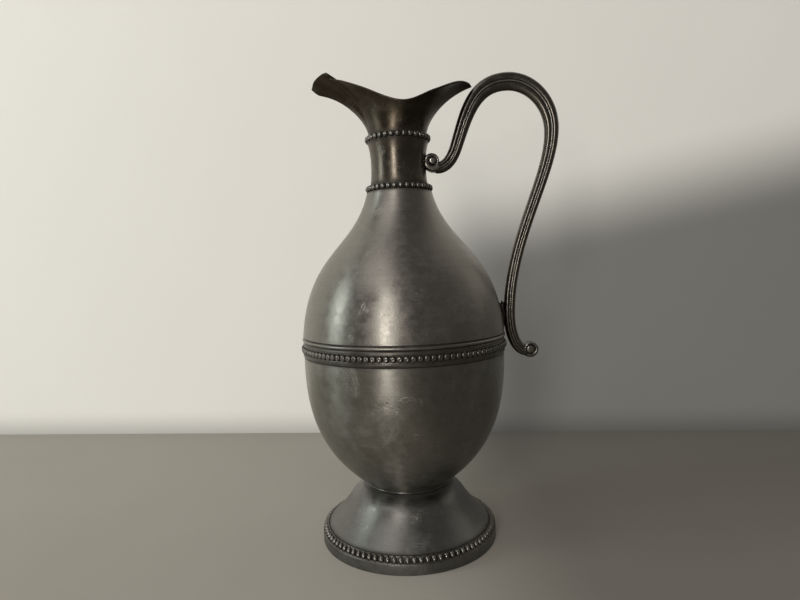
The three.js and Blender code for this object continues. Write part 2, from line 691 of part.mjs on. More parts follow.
const ewer = new THREE.Group();
addPiece(ewer, "foot_plinth", footPlinth(), DARK_PEWTER);
addPiece(ewer, "foot_bead_strip", footBeadStrip(), DARK_PEWTER);
addPiece(ewer, "foot_bell", footBell(), SATIN_PEWTER);
addPiece(ewer, "foot_solder", footSolder(), BRIGHT_SOLDER);
addPiece(ewer, "waist_solder", waistSolder(), BRIGHT_SOLDER);
addPiece(ewer, "bowl", bowl(), SATIN_PEWTER);
addPiece(ewer, "belly_band", bellyBand(), DARK_PEWTER);
addPiece(ewer, "shoulder", shoulder(), SATIN_PEWTER);
addPiece(ewer, "lower_neck_ring", lowerNeckRing(), DARK_PEWTER);
addPiece(ewer, "neck_tube", neckTube(), SATIN_PEWTER);
addPiece(ewer, "upper_neck_ring", upperNeckRing(), DARK_PEWTER);
addPiece(ewer, "mouth", mouth(), DARK_PEWTER);
addPiece(ewer, "handle", handle(), DARK_PEWTER);
addPiece(ewer, "upper_handle_pad", upperHandlePad(), BRIGHT_SOLDER);
addPiece(ewer, "lower_handle_pad", lowerHandlePad(), BRIGHT_SOLDER);

// The origin is the middle of the bounding box's bottom face.
const box = new THREE.Box3().setFromObject(ewer);
ewer.position.set(-(box.min.x + box.max.x) / 2, -(box.min.y + box.max.y) / 2, -box.min.z);

const part = new THREE.Group();
part.add(ewer);
part.updateMatrixWorld(true);

export default part;
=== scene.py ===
# %% [markdown]
# A pewter ewer on a bell foot: spun shells, four beaded strips, a cast mouth with a long pouring lip and a
# cast scroll handle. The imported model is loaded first. It fixes where everything stands, so every piece
# made here takes its place from the boxes of that model, and only the fine surface is new.

import math

import bpy
from mathutils import Matrix, Vector, noise


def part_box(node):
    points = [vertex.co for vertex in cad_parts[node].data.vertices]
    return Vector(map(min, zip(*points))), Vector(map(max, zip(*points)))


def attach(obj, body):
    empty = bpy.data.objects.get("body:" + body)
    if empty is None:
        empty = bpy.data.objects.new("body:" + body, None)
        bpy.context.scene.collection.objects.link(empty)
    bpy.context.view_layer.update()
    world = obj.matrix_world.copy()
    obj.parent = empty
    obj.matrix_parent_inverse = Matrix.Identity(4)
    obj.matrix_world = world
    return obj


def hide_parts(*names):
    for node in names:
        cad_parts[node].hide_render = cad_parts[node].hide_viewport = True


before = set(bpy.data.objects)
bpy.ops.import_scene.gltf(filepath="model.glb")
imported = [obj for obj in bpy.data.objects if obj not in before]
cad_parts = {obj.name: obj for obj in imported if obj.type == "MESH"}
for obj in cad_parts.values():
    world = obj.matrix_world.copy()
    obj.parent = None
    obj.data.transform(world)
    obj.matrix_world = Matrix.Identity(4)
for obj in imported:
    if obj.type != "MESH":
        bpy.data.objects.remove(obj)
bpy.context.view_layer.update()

# %% [markdown]
# Sizes are kept in metres. The plinth is round about the ewer's axis, so the middle of its box is the axis.
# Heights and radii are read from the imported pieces; what is too fine for them is named here in millimetres.

# %% Read the main sizes
MM = 0.001


def middle_of(node):
    low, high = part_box(node)
    return (Vector(low) + Vector(high)) / 2


def top_of(node):
    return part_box(node)[1][2]


def bottom_of(node):
    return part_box(node)[0][2]


AXIS = middle_of("foot_plinth")
AXIS.z = 0
WALL = 2 * MM
SLIP_FIT = 0.3 * MM
PLINTH_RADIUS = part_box("foot_plinth")[1][0] - AXIS.x
PLINTH_HEIGHT = top_of("foot_plinth")
PLINTH_WIDTH = 7 * MM
BELL_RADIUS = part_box("foot_bell")[1][0] - AXIS.x
WAIST = top_of("foot_bell")
WAIST_RADIUS = 28.6 * MM
BAND_BOTTOM = bottom_of("belly_band")
BAND_TOP = top_of("belly_band")
SEAM = (BAND_BOTTOM + BAND_TOP) / 2
BODY_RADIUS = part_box("bowl")[1][0] - AXIS.x
MOULDING_TOP = BAND_TOP + 2.2 * MM
NECK_SEAT = top_of("shoulder")
NECK_TOP = top_of("neck_tube")
RING_LEDGE = bottom_of("upper_neck_ring")
NECK_RADIUS = 20.5 * MM
NECK_TOP_RADIUS = 21.1 * MM
NECK_BORE = 17.4 * MM
print("waist", round(WAIST, 4), "belly band", round(SEAM, 4), "neck seat", round(NECK_SEAT, 4))

# %% [markdown]
# A spun shell is the same all the way round, so its mesh is one outline turned about the axis. Curved
# stretches of the outline are cubic Bezier curves, which a turner's template also follows. Each outline
# point may carry a share of darkening, from 0 on open metal to 1 in a corner, and the finish reads it back as
# an attribute of the mesh. The darkening is partly the patina old pewter keeps in its hollows and partly
# painted shade; a share below 0, used on crowns and ridges, is painted lighter, partly wear and partly a
# painted highlight. Real shells are never quite true, so a little slow noise moves the wall.

# %% Helpers for outlines and meshes
ROUND_STEPS = 256
UNTRUE = 0.12 * MM


def flat(radius, height):
    return Vector((radius, height))


def bezier(start, leave, arrive, end, steps=48):
    points = []
    for k in range(steps + 1):
        t = k / steps
        u = 1 - t
        points.append(start * u**3 + leave * 3 * t * u**2 + arrive * 3 * t**2 * u + end * t**3)
    return points


def arc(centre, radius, start, end, steps=8):
    turn = [math.radians(start + (end - start) * k / steps) for k in range(steps + 1)]
    return [centre + radius * flat(math.cos(a), math.sin(a)) for a in turn]


def offset(points, distance):
    moved = []
    for k, here in enumerate(points):
        along = (points[min(k + 1, len(points) - 1)] - points[max(k - 1, 0)]).normalized()
        moved.append(here + flat(-along.y, along.x) * distance)
    return moved


def slow_noise(place, size=45 * MM):
    return noise.noise(place / size)


def mesh_piece(name, corners, faces, patina_shade_sheen=None, place=None, sharp=40):
    mesh = bpy.data.meshes.new(name)
    mesh.from_pydata(corners, [], faces)
    mesh.validate()
    if patina_shade_sheen:
        layer = mesh.attributes.new("patina_shade_sheen", "FLOAT", "POINT")
        layer.data.foreach_set("value", patina_shade_sheen)
    mesh.shade_smooth()
    mesh.set_sharp_from_angle(angle=math.radians(sharp))
    piece = bpy.data.objects.new(name, mesh)
    piece.location = AXIS if place is None else place
    bpy.context.collection.objects.link(piece)
    print(name, len(mesh.polygons), "faces")
    return piece


def turned_mesh(outline, shade_and_patina_at=None, steps=ROUND_STEPS, untrue=UNTRUE):
    corners, faces, patina_shade_sheen = [], [], []
    rows = len(outline)
    for k in range(steps):
        angle = 2 * math.pi * k / steps
        around = Vector((math.cos(angle), math.sin(angle), 0))
        for row, (radius, height) in enumerate(outline):
            place = around * radius + Vector((0, 0, height))
            shift = untrue * slow_noise(place) if radius > WALL else 0
            corners.append(place + around * shift)
            patina_shade_sheen.append(shade_and_patina_at(radius, height) if shade_and_patina_at else 0.0)
            other = (k + 1) % steps
            above = (row + 1) % rows
            faces.append((k * rows + row, other * rows + row, other * rows + above, k * rows + above))
    return corners, faces, patina_shade_sheen


def near(value, target, reach):
    return max(0.0, 1 - abs(value - target) / reach)


# %% [markdown]
# Shader maths reads best as plain expressions. This class holds one output of one node; adding or
# multiplying it adds the Math node that does so. Any other node comes from the node method of the finish,
# which takes the node's type, its settings and what goes into its sockets.

# %% Shader expressions
class Signal:
    def __init__(self, finish, socket):
        self.finish = finish
        self.socket = socket

    def maths(self, operation, first, second=0.0):
        inputs = {0: first, 1: second}
        return self.finish.node("ShaderNodeMath", {"operation": operation}, inputs)

    def __add__(self, other):
        return self.maths("ADD", self, other)

    def __radd__(self, other):
        return self.maths("ADD", other, self)

    def __sub__(self, other):
        return self.maths("SUBTRACT", self, other)

    def __rsub__(self, other):
        return self.maths("SUBTRACT", other, self)

    def __mul__(self, other):
        return self.maths("MULTIPLY", self, other)

    def __rmul__(self, other):
        return self.maths("MULTIPLY", other, self)

    def power(self, other):
        return self.maths("POWER", self, other)

    def at_most(self, other):
        return self.maths("MINIMUM", self, other)

    def at_least(self, other):
        return self.maths("MAXIMUM", self, other)

    def between(self, low, high):
        sockets = {"Value": self, "From Min": low, "From Max": high}
        return self.finish.node("ShaderNodeMapRange", {"interpolation_type": "SMOOTHSTEP"}, sockets, "Result")


class Finish:
    def __init__(self, name):
        self.material = bpy.data.materials.new(name)
        self.material.use_nodes = True
        self.tree = self.material.node_tree
        self.tree.nodes.clear()

    def node(self, kind, settings=None, inputs=None, output=0):
        made = self.tree.nodes.new(kind)
        for key, value in (settings or {}).items():
            setattr(made, key, value)
        for key, value in (inputs or {}).items():
            if isinstance(value, Signal):
                self.tree.links.new(value.socket, made.inputs[key])
            else:
                made.inputs[key].default_value = value
        return Signal(self, made.outputs[output]) if made.outputs else None

    def place(self):
        return self.node("ShaderNodeTexCoord", output="Object")

    def stretched(self, place, scale, turn=(0, 0, 0)):
        inputs = {"Vector": place, "Scale": scale, "Rotation": turn}
        return self.node("ShaderNodeMapping", inputs=inputs)

    def cloud(self, place, scale, detail=4, rough=0.55, distort=0.0):
        inputs = {"Vector": place, "Scale": scale, "Detail": detail, "Roughness": rough, "Distortion": distort}
        return self.node("ShaderNodeTexNoise", inputs=inputs)

    def cells(self, place, scale, feature="F1", random=1.0):
        inputs = {"Vector": place, "Scale": scale, "Randomness": random}
        return self.node("ShaderNodeTexVoronoi", {"feature": feature}, inputs, "Distance")

    def blend(self, share, first, second):
        settings = {"data_type": "RGBA", "blend_type": "MIX"}
        return self.node("ShaderNodeMix", settings, {"Factor": share, 6: first, 7: second}, 2)

    def patina_shade_sheen(self):
        return self.node("ShaderNodeAttribute", {"attribute_name": "patina_shade_sheen"}, output="Fac")

    def surface(self, sockets):
        shader = self.node("ShaderNodeBsdfPrincipled", inputs=sockets)
        self.node("ShaderNodeOutputMaterial", inputs={"Surface": shader})

# %% [markdown]
# Old pewter is grey, soft and easily marked. Four things make its look: broad mottling where hands and
# cloths have been, fine turning lines round the axis, hair scratches and small pits, and a dark skin in
# every corner, which is partly the patina that a polishing cloth misses and partly painted shade. Crowns
# and ridges that the mesh marks below 0 are painted lighter, partly wear and partly a painted highlight.
# Each is one function, so the pieces can share them in different strengths.

# %% Parts of the pewter finish
def rgb(red, green, blue):
    return (red, green, blue, 1)


def apart(finish, place):
    split = finish.tree.nodes.new("ShaderNodeSeparateXYZ")
    finish.tree.links.new(place.socket, split.inputs[0])
    return [Signal(finish, split.outputs[k]) for k in range(3)]


def ring_place(finish, place):
    across, depth, height = apart(finish, place)
    angle = across.maths("ARCTAN2", depth, across)
    radius = (across * across + depth * depth).power(0.5)
    inputs = {"X": angle * 0.03, "Y": radius, "Z": height}
    return finish.node("ShaderNodeCombineXYZ", inputs=inputs)


def spin_lines(finish, place):
    ring = ring_place(finish, place)
    broad = finish.cloud(finish.stretched(ring, (12, 900, 900)), 1, 3)
    fine = finish.cloud(finish.stretched(ring, (60, 3600, 3600)), 1, 2)
    return broad * 0.5 + fine * 0.5


def scratches(finish, place, turn, length, share):
    bent = finish.stretched(place, (length, 1700, 260), turn)
    line = 1 - finish.cells(bent, 1, "DISTANCE_TO_EDGE").between(0.004, 0.03)
    patch = finish.cloud(place, 60, 2).between(1 - share, 1.08 - share)
    return line * patch


def pits(finish, place, scale, size, share):
    hole = 1 - finish.cells(place, scale).between(size * 0.4, size)
    patch = finish.cloud(place, scale * 0.35, 1).between(0.62 - share, 0.7 - share)
    return hole * patch


def pewter(name, bright, dark, rough, spun=0.0, worn=0.5, patina_shade_strength=0.8, streak=0.0):
    finish = Finish(name)
    place = finish.place()
    mottle = finish.cloud(place, 28, 5, 0.6, 0.4).between(0.3, 0.72)
    cloudy = finish.cloud(place, 190, 4, 0.6).between(0.32, 0.7)
    speck = pits(finish, place, 520, 0.16, 0.1)
    crater = pits(finish, place, 170, 0.12, 0.02)
    hair = scratches(finish, place, (0.5, 0.9, 0.3), 60, 0.46)
    hair = hair.at_least(scratches(finish, place, (1.9, 0.2, 1.1), 90, 0.42))
    lines = spin_lines(finish, place)
    # The mesh's mark: above 0 it darkens the metal with patina and painted shade; below 0 it lightens it with wear
    # and a painted highlight.
    patina_shade_sheen_level = finish.patina_shade_sheen()
    wear_and_sheen = (0 - patina_shade_sheen_level).at_least(0.0)
    patina_shade_sheen_level = patina_shade_sheen_level.at_least(0.0)
    rim_noise = finish.cloud(place, 320, 4)
    patina_and_shade = (patina_shade_sheen_level * patina_shade_strength * (0.7 + rim_noise * 0.6)).at_most(1.0)
    grain = finish.cloud(place, 1100, 2).between(0.3, 0.7)
    tone = (mottle * 0.4 + cloudy * 0.22 + grain * 0.22 + (lines - 0.3) * 0.7 * spun).at_most(1.0)
    metal = finish.blend(tone, dark, bright)
    # Hair scratches are real wear. The lightened crowns and ridges are partly wear and partly a painted highlight.
    metal = finish.blend((hair * worn * 0.5 + wear_and_sheen).at_most(1.0), metal, rgb(0.6, 0.58, 0.54))
    metal = finish.blend((speck * 0.6 + crater * 0.8).at_most(1.0), metal, rgb(0.06, 0.052, 0.045))
    # The dark skin in corners is partly patina and partly painted shade. It also dulls the metal.
    metal = finish.blend(patina_and_shade, metal, rgb(0.022, 0.018, 0.014))
    gloss = rough + (cloudy - 0.5) * 0.1 + (mottle - 0.5) * 0.1 + patina_and_shade * 0.25 + lines * 0.08 * spun
    height = lines * 0.6 * spun - hair * 0.8 * worn - speck * 1.4 - crater * 2.5 + cloudy * 0.4 + grain * 0.3
    sockets = {"Height": height, "Strength": 0.45, "Distance": 0.00009}
    relief = finish.node("ShaderNodeBump", inputs=sockets)
    finish.surface({
        "Base Color": metal,
        "Metallic": 1 - patina_and_shade * 0.55,
        "Roughness": gloss.at_least(0.12),
        "Anisotropic": streak,
        "Anisotropic Rotation": 0.25,
        "Normal": relief,
    })
    return finish.material


SATIN = pewter("aged_satin_pewter", rgb(0.32, 0.302, 0.275), rgb(0.17, 0.16, 0.142), 0.36, spun=1.0, streak=0.6)
BOWL = pewter("spun_bowl_pewter", rgb(0.3, 0.29, 0.264), rgb(0.17, 0.163, 0.144), 0.35, 1.0, 0.7, streak=0.8)
FOOT = pewter("foot_pewter", rgb(0.24, 0.237, 0.226), rgb(0.13, 0.126, 0.117), 0.36, spun=0.9, streak=0.5)
NECK = pewter("glossy_neck_pewter", rgb(0.14, 0.122, 0.1), rgb(0.085, 0.072, 0.058), 0.33, spun=0.4, streak=0.5)
BEADS = pewter("dark_beaded_pewter", rgb(0.22, 0.21, 0.192), rgb(0.11, 0.102, 0.09), 0.27, worn=0.4, patina_shade_strength=1.0)
MOUTH = pewter("dark_mouth_pewter", rgb(0.085, 0.07, 0.052), rgb(0.045, 0.036, 0.026), 0.34, worn=0.3)
HANDLE = pewter("reeded_handle_pewter", rgb(0.15, 0.138, 0.12), rgb(0.1, 0.09, 0.076), 0.25, worn=0.1)
SOLDER = pewter("wiped_solder", rgb(0.12, 0.112, 0.1), rgb(0.05, 0.045, 0.038), 0.4, worn=0.2)
print("finishes", len(bpy.data.materials))


# %% [markdown]
# Every new piece rides on the ewer's one body, takes the place of its packed twin and gets its finish. One
# function does all three, so that none is forgotten.

# %% Fit a piece to the frame
def fit(piece, node, finish):
    piece.data.materials.append(finish)
    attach(piece, "root")
    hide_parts(node)


# %% [markdown]
# The foot stands on a plain flat ring. Its outside edges are slightly rounded by wear, which a short arc
# at each corner of the outline gives; sharp corners would look machined.

# %% Foot plinth
EDGE = 0.5 * MM


def plinth_outline():
    inner = PLINTH_RADIUS - PLINTH_WIDTH
    low = arc(flat(PLINTH_RADIUS - EDGE, EDGE), EDGE, -90, 0)
    high = arc(flat(PLINTH_RADIUS - EDGE, PLINTH_HEIGHT - EDGE), EDGE, 0, 90)
    return [flat(inner, 0), *low, *high, flat(inner, PLINTH_HEIGHT)]


# Darkened inside, along the bottom edge where the plinth meets the table and a little at the top edge: patina and
# painted shade.
def plinth_shade_and_patina(radius, height):
    inside = 1.0 if radius < PLINTH_RADIUS - 2 * EDGE else 0.0
    return max(inside, 0.55 * near(height, 0, 2.2 * MM), 0.3 * near(height, PLINTH_HEIGHT, 1 * MM))


plinth = mesh_piece("foot_plinth_turned", *turned_mesh(plinth_outline(), plinth_shade_and_patina, untrue=0))
fit(plinth, "foot_plinth", FOOT)

# %% [markdown]
# A bead is pressed into the strip by a roller, so it is a low dome that runs out into the flat metal. It is
# made as a small grid of rings round a normal, and no two are exactly alike: the height and width vary a
# little with a seeded noise. The dome's base is darkened, partly patina and partly painted shade, and its
# crown is painted a little lighter, partly wear and partly a painted highlight.

# %% Bead strip helper
BEAD_RINGS = 6
BEAD_SIDES = 16


def bead_mesh(centre, out, tall, half_wide, half_tall, rise, flat_top=0.0):
    side = Vector((0, 0, 1)).cross(out).normalized()
    up = tall.normalized()
    corners, patina_shade_sheen = [centre + out * rise * (1 - flat_top)], [0.0]
    for ring in range(1, BEAD_RINGS + 1):
        polar = math.pi / 2 * ring / BEAD_RINGS
        reach = math.sin(polar)
        lift = math.cos(polar) ** 0.85
        lift -= flat_top * math.exp(-((reach / 0.4) ** 2))
        for k in range(BEAD_SIDES):
            turn = 2 * math.pi * k / BEAD_SIDES
            across = side * math.cos(turn) * half_wide * reach
            along = up * math.sin(turn) * half_tall * reach
            corners.append(centre + across + along + out * rise * lift)
            patina_shade_sheen.append(max(0.0, (reach - 0.85) / 0.15) - 0.12 * (reach < 0.6))
    faces = [(0, 1 + k, 1 + (k + 1) % BEAD_SIDES) for k in range(BEAD_SIDES)]
    for ring in range(BEAD_RINGS - 1):
        base = 1 + ring * BEAD_SIDES
        for k in range(BEAD_SIDES):
            other = (k + 1) % BEAD_SIDES
            faces.append((base + k, base + BEAD_SIDES + k, base + BEAD_SIDES + other, base + other))
    return corners, faces, patina_shade_sheen


def joined(*parts):
    corners, faces, patina_shade_sheen = [], [], []
    for part_corners, part_faces, part_patina_shade_sheen in parts:
        first = len(corners)
        corners.extend(part_corners)
        faces.extend([[first + index for index in face] for face in part_faces])
        patina_shade_sheen.extend(part_patina_shade_sheen)
    return corners, faces, patina_shade_sheen


def bead_row(count, radius, height, lean, half_wide, half_tall, rise, flat_top=0.0):
    parts = []
    for k in range(count):
        angle = 2 * math.pi * k / count
        around = Vector((math.cos(angle), math.sin(angle), 0))
        out = around * math.cos(lean) + Vector((0, 0, math.sin(lean)))
        tall = Vector((0, 0, math.cos(lean))) - around * math.sin(lean)
        place = around * radius + Vector((0, 0, height))
        vary = 1 + 0.1 * noise.noise(place / (7 * MM))
        parts.append(bead_mesh(place, out, tall, half_wide * vary, half_tall, rise * vary, flat_top))
    return parts


# %% [markdown]
# The strip on the plinth leans inwards between the plinth and the bell. Its beads are tall ovals set close
# together, with black gaps between them, dark with patina and painted shade, and a thin raised line above the row.

# %% Foot bead strip
FOOT_BEADS = 90
FOOT_STRIP_TOP = top_of("foot_bead_strip")
FOOT_STRIP_INNER = BELL_RADIUS + SLIP_FIT


def foot_strip_outline():
    edge = PLINTH_RADIUS - SLIP_FIT
    line = arc(flat(FOOT_STRIP_INNER + 0.55 * MM, FOOT_STRIP_TOP - 0.5 * MM), 0.5 * MM, 40, 140)
    return [
        flat(FOOT_STRIP_INNER, PLINTH_HEIGHT),
        flat(edge, PLINTH_HEIGHT),
        flat(edge - 0.3 * MM, PLINTH_HEIGHT + 0.5 * MM),
        flat(edge - 1.5 * MM, PLINTH_HEIGHT + 0.7 * MM),
        flat(FOOT_STRIP_INNER + 1.3 * MM, FOOT_STRIP_TOP - 1.2 * MM),
        *line,
        flat(FOOT_STRIP_INNER, FOOT_STRIP_TOP - 0.4 * MM),
    ]


# The bed between the beads is darkened with patina and painted shade; the ledge and the top line less so.
def foot_strip_shade_and_patina(radius, height):
    ledge = radius > PLINTH_RADIUS - 0.8 * MM
    top = height > FOOT_STRIP_TOP - 0.8 * MM
    return 0.25 if ledge or top else 1.0


lean = math.radians(42)
middle = flat((FOOT_STRIP_INNER + PLINTH_RADIUS) / 2, (PLINTH_HEIGHT + FOOT_STRIP_TOP) / 2)
foot_base = turned_mesh(foot_strip_outline(), foot_strip_shade_and_patina, untrue=0)
foot_beads = bead_row(FOOT_BEADS, middle.x - 0.5 * MM, middle.y - 0.5 * MM, lean, 1.6 * MM, 2.6 * MM, 2.1 * MM)
foot_strip = mesh_piece("foot_bead_strip_oval_beads", *joined(foot_base, *foot_beads), sharp=50)
fit(foot_strip, "foot_bead_strip", BEADS)

# %% [markdown]
# The bell of the foot is an ogee: it leaves the waist steeply, turns out and runs down to the strip. A thin
# rolled lip at its top stands proud of the bowl and catches the light, so it is a real small arc here.

# %% Foot bell
LIP = 0.6 * MM


def bell_outline():
    ogee = bezier(
        flat(WAIST_RADIUS + LIP, WAIST - 1.1 * MM),
        flat(WAIST_RADIUS + 16 * MM, WAIST - 9 * MM),
        flat(WAIST_RADIUS + 6 * MM, WAIST - 8 * MM),
        flat(BELL_RADIUS, FOOT_STRIP_TOP),
    )
    lip = arc(flat(WAIST_RADIUS + 0.1 * MM, WAIST - 0.55 * MM), 0.55 * MM, 90, -60)
    inside = offset(ogee, -WALL)[::-1]
    bore = WAIST_RADIUS - WALL
    return [
        flat(bore, WAIST),
        *lip,
        *ogee,
        flat(BELL_RADIUS, PLINTH_HEIGHT + SLIP_FIT),
        flat(BELL_RADIUS - 1.4 * WALL, PLINTH_HEIGHT + SLIP_FIT),
        *inside,
        flat(bore, WAIST - 2 * WALL),
    ]


# Darkened where the bell meets the bead strip and just under the waist lip: patina and painted shade.
def bell_shade_and_patina(radius, height):
    return max(0.9 * near(height, FOOT_STRIP_TOP, 1.4 * MM), 0.6 * near(height, WAIST - 2 * MM, 1 * MM))


bell = mesh_piece("foot_bell_spun", *turned_mesh(bell_outline(), bell_shade_and_patina))
fit(bell, "foot_bell", FOOT)

# %% [markdown]
# The bowl swells from the narrow waist to the belly. The photograph's outline is one clean curve, so one
# Bezier carries it. The inside is the same curve moved in by the wall's thickness.

# %% Bowl
def bowl_outline():
    side = bezier(
        flat(WAIST_RADIUS, WAIST),
        flat(WAIST_RADIUS + 37.6 * MM, WAIST + 26.4 * MM),
        flat(BODY_RADIUS, BAND_BOTTOM - 31.5 * MM),
        flat(BODY_RADIUS, BAND_BOTTOM - 0.5 * MM),
        72,
    )
    spigot = WAIST_RADIUS - WALL - SLIP_FIT
    return [
        flat(0.01 * MM, WAIST - WALL),
        flat(spigot, WAIST - WALL),
        *side,
        flat(BODY_RADIUS - 0.5 * MM, BAND_BOTTOM - 0.1 * MM),
        flat(BODY_RADIUS - 0.9 * MM, BAND_BOTTOM),
        flat(BODY_RADIUS - 0.9 * MM, SEAM),
        flat(BODY_RADIUS - WALL, SEAM),
        *offset(side, WALL)[::-1],
        flat(0.01 * MM, WAIST),
    ]


# Darkened at the waist and just under the belly band: patina and painted shade.
def bowl_shade_and_patina(radius, height):
    return max(0.8 * near(height, WAIST, 1.3 * MM), 0.8 * near(height, BAND_BOTTOM, 0.8 * MM))


bowl = mesh_piece("bowl_spun", *turned_mesh(bowl_outline(), bowl_shade_and_patina))
fit(bowl, "bowl", BOWL)

# %% [markdown]
# The shoulder rises from a half-round rim moulding and a turned groove, and sweeps in to the neck. The
# groove is cut in the outline, because a painted line would not hold a shadow.

# %% Shoulder
GROOVE_DEPTH = 0.6 * MM
SHOULDER_TOP_RADIUS = NECK_RADIUS + SLIP_FIT + 1.1 * MM + WALL / 3


def shoulder_outline():
    side = bezier(
        flat(BODY_RADIUS + 0.45 * MM, MOULDING_TOP + 1 * MM),
        flat(BODY_RADIUS - 4.6 * MM, MOULDING_TOP + 59.5 * MM),
        flat(SHOULDER_TOP_RADIUS + 9.6 * MM, NECK_SEAT - 39 * MM),
        flat(SHOULDER_TOP_RADIUS, NECK_SEAT),
        96,
    )
    moulding = arc(flat(BODY_RADIUS - 0.05 * MM, BAND_TOP + 1.05 * MM), 1.05 * MM, -80, 78, 12)
    line = arc(flat(BODY_RADIUS + 0.4 * MM, MOULDING_TOP + 0.45 * MM), 0.4 * MM, 200, 160, 4)
    neck_bore = NECK_BORE + 1.5 * MM
    return [
        flat(BODY_RADIUS - 3 * MM, SEAM),
        flat(BODY_RADIUS - 0.9 * MM, SEAM),
        flat(BODY_RADIUS - 0.9 * MM, BAND_TOP),
        *moulding,
        *[point - flat(GROOVE_DEPTH, 0) for point in line],
        flat(BODY_RADIUS + 0.15 * MM, MOULDING_TOP + 0.8 * MM),
        *side,
        flat(neck_bore, NECK_SEAT),
        flat(neck_bore, NECK_SEAT - WALL),
        *offset(side, WALL)[::-1],
    ]


# Darkened in the groove, at the top of the band and at the neck seat: patina and painted shade.
def shoulder_shade_and_patina(radius, height):
    groove = near(height, MOULDING_TOP + 0.4 * MM, 0.6 * MM)
    return max(groove, near(height, BAND_TOP, 0.5 * MM), 0.9 * near(height, NECK_SEAT, 1.5 * MM))


shoulder = mesh_piece("shoulder_spun", *turned_mesh(shoulder_outline(), shoulder_shade_and_patina))
fit(shoulder, "shoulder", SATIN)

# %% [markdown]
# The belly band hides the seam between bowl and shoulder. It is a rolled strip: a thin line, a row of round
# beads whose tops are pressed slightly flat, another thin line, and a plain margin below.

# %% Belly band
BELLY_BEADS = 109
BAND_FACE = BODY_RADIUS + 0.7 * MM


def band_outline():
    inner = BODY_RADIUS - 0.6 * MM
    low_line = arc(flat(BAND_FACE - 0.15 * MM, SEAM - 2.6 * MM), 0.3 * MM, -90, 90, 6)
    high_line = arc(flat(BAND_FACE - 0.3 * MM, SEAM + 2.6 * MM), 0.25 * MM, -90, 90, 6)
    return [
        flat(inner, BAND_BOTTOM),
        flat(BODY_RADIUS + 0.1 * MM, BAND_BOTTOM),
        flat(BAND_FACE - 0.2 * MM, BAND_BOTTOM + 0.4 * MM),
        flat(BAND_FACE - 0.1 * MM, SEAM - 3.4 * MM),
        *low_line,
        flat(BAND_FACE - 0.4 * MM, SEAM - 1.6 * MM),
        flat(BAND_FACE - 0.4 * MM, SEAM + 1.6 * MM),
        *high_line,
        flat(BAND_FACE - 0.3 * MM, SEAM + 3.4 * MM),
        flat(BODY_RADIUS, BAND_TOP - 0.3 * MM),
        flat(inner, BAND_TOP),
    ]


# The bed between the beads, the two thin lines, the top margin and the bottom edge are darkened: patina and painted
# shade.
def band_shade_and_patina(radius, height):
    away = abs(height - SEAM)
    lines = max(near(height, SEAM - 3.1 * MM, 0.35 * MM), near(height, SEAM + 3.1 * MM, 0.35 * MM))
    bed = 1.0 if away < 2 * MM else 0.2
    top = 0.8 * near(height, BAND_TOP - 1 * MM, 2 * MM)
    return max(bed, lines, top, 0.9 * near(height, BAND_BOTTOM, 0.6 * MM))


band_base = turned_mesh(band_outline(), band_shade_and_patina, untrue=0)
belly_beads = bead_row(BELLY_BEADS, BAND_FACE - 0.45 * MM, SEAM, 0, 1.95 * MM, 2.1 * MM, 1.8 * MM, 0.3)
band = mesh_piece("belly_band_round_beads", *joined(band_base, *belly_beads), sharp=50)
fit(band, "belly_band", BEADS)

# %% [markdown]
# The neck is waisted and glossy, because hands and sleeves rub it. It carries a ring of round beads at its
# foot and another at its top; both rings are the same function with other numbers.

# %% Neck and its bead rings
NECK_HEIGHT = RING_LEDGE - NECK_SEAT


def neck_outline():
    side = bezier(
        flat(NECK_RADIUS, NECK_SEAT),
        flat(18.5 * MM, NECK_SEAT + NECK_HEIGHT * 0.35),
        flat(18.3 * MM, NECK_SEAT + NECK_HEIGHT * 0.75),
        flat(NECK_TOP_RADIUS, RING_LEDGE),
    )
    ledge = NECK_TOP_RADIUS - 1.1 * MM
    low = NECK_SEAT - 4 * MM
    lap = NECK_BORE + 1.2 * MM
    return [
        flat(NECK_BORE, low),
        flat(lap, low),
        flat(lap, NECK_SEAT),
        *side,
        flat(ledge, RING_LEDGE),
        flat(ledge, NECK_TOP),
        flat(NECK_BORE, NECK_TOP),
    ]


# Darkened just above the lower ring, under the upper ring's ledge and inside the bore: patina and painted shade.
def neck_shade_and_patina(radius, height):
    foot = near(height, NECK_SEAT + 5 * MM, 3 * MM)
    inside = 0.7 if radius < NECK_BORE + 0.2 * MM else 0.0
    return max(0.9 * foot, 0.8 * near(height, RING_LEDGE, 2 * MM), inside)


def bead_ring(name, node, inner, beads):
    low, high = bottom_of(node), top_of(node)
    face = inner + 0.8 * MM
    height = (low + high) / 2
    outline = [
        flat(inner, low),
        flat(face - 0.2 * MM, low),
        *arc(flat(face - 0.2 * MM, low + 0.25 * MM), 0.25 * MM, -90, 90, 4),
        flat(face - 0.3 * MM, height),
        *arc(flat(face - 0.2 * MM, high - 0.25 * MM), 0.25 * MM, -90, 90, 4),
        flat(inner, high),
    ]
    # The ring's bed beside the beads is darkened and its edges less so: patina and painted shade.
    base = turned_mesh(outline, lambda radius, place: 1 - 0.7 * (abs(place - height) > 1.9 * MM), untrue=0)
    row = bead_row(beads, face - 0.5 * MM, height, 0, 1.95 * MM, 2.15 * MM, 2.4 * MM, 0.05)
    ring = mesh_piece(name, *joined(base, *row), sharp=50)
    fit(ring, node, BEADS)


neck = mesh_piece("neck_tube_spun", *turned_mesh(neck_outline(), neck_shade_and_patina))
fit(neck, "neck_tube", NECK)
bead_ring("lower_neck_ring_beads", "lower_neck_ring", NECK_RADIUS + SLIP_FIT, 33)
bead_ring("upper_neck_ring_beads", "upper_neck_ring", NECK_TOP_RADIUS - 1.1 * MM + SLIP_FIT, 32)

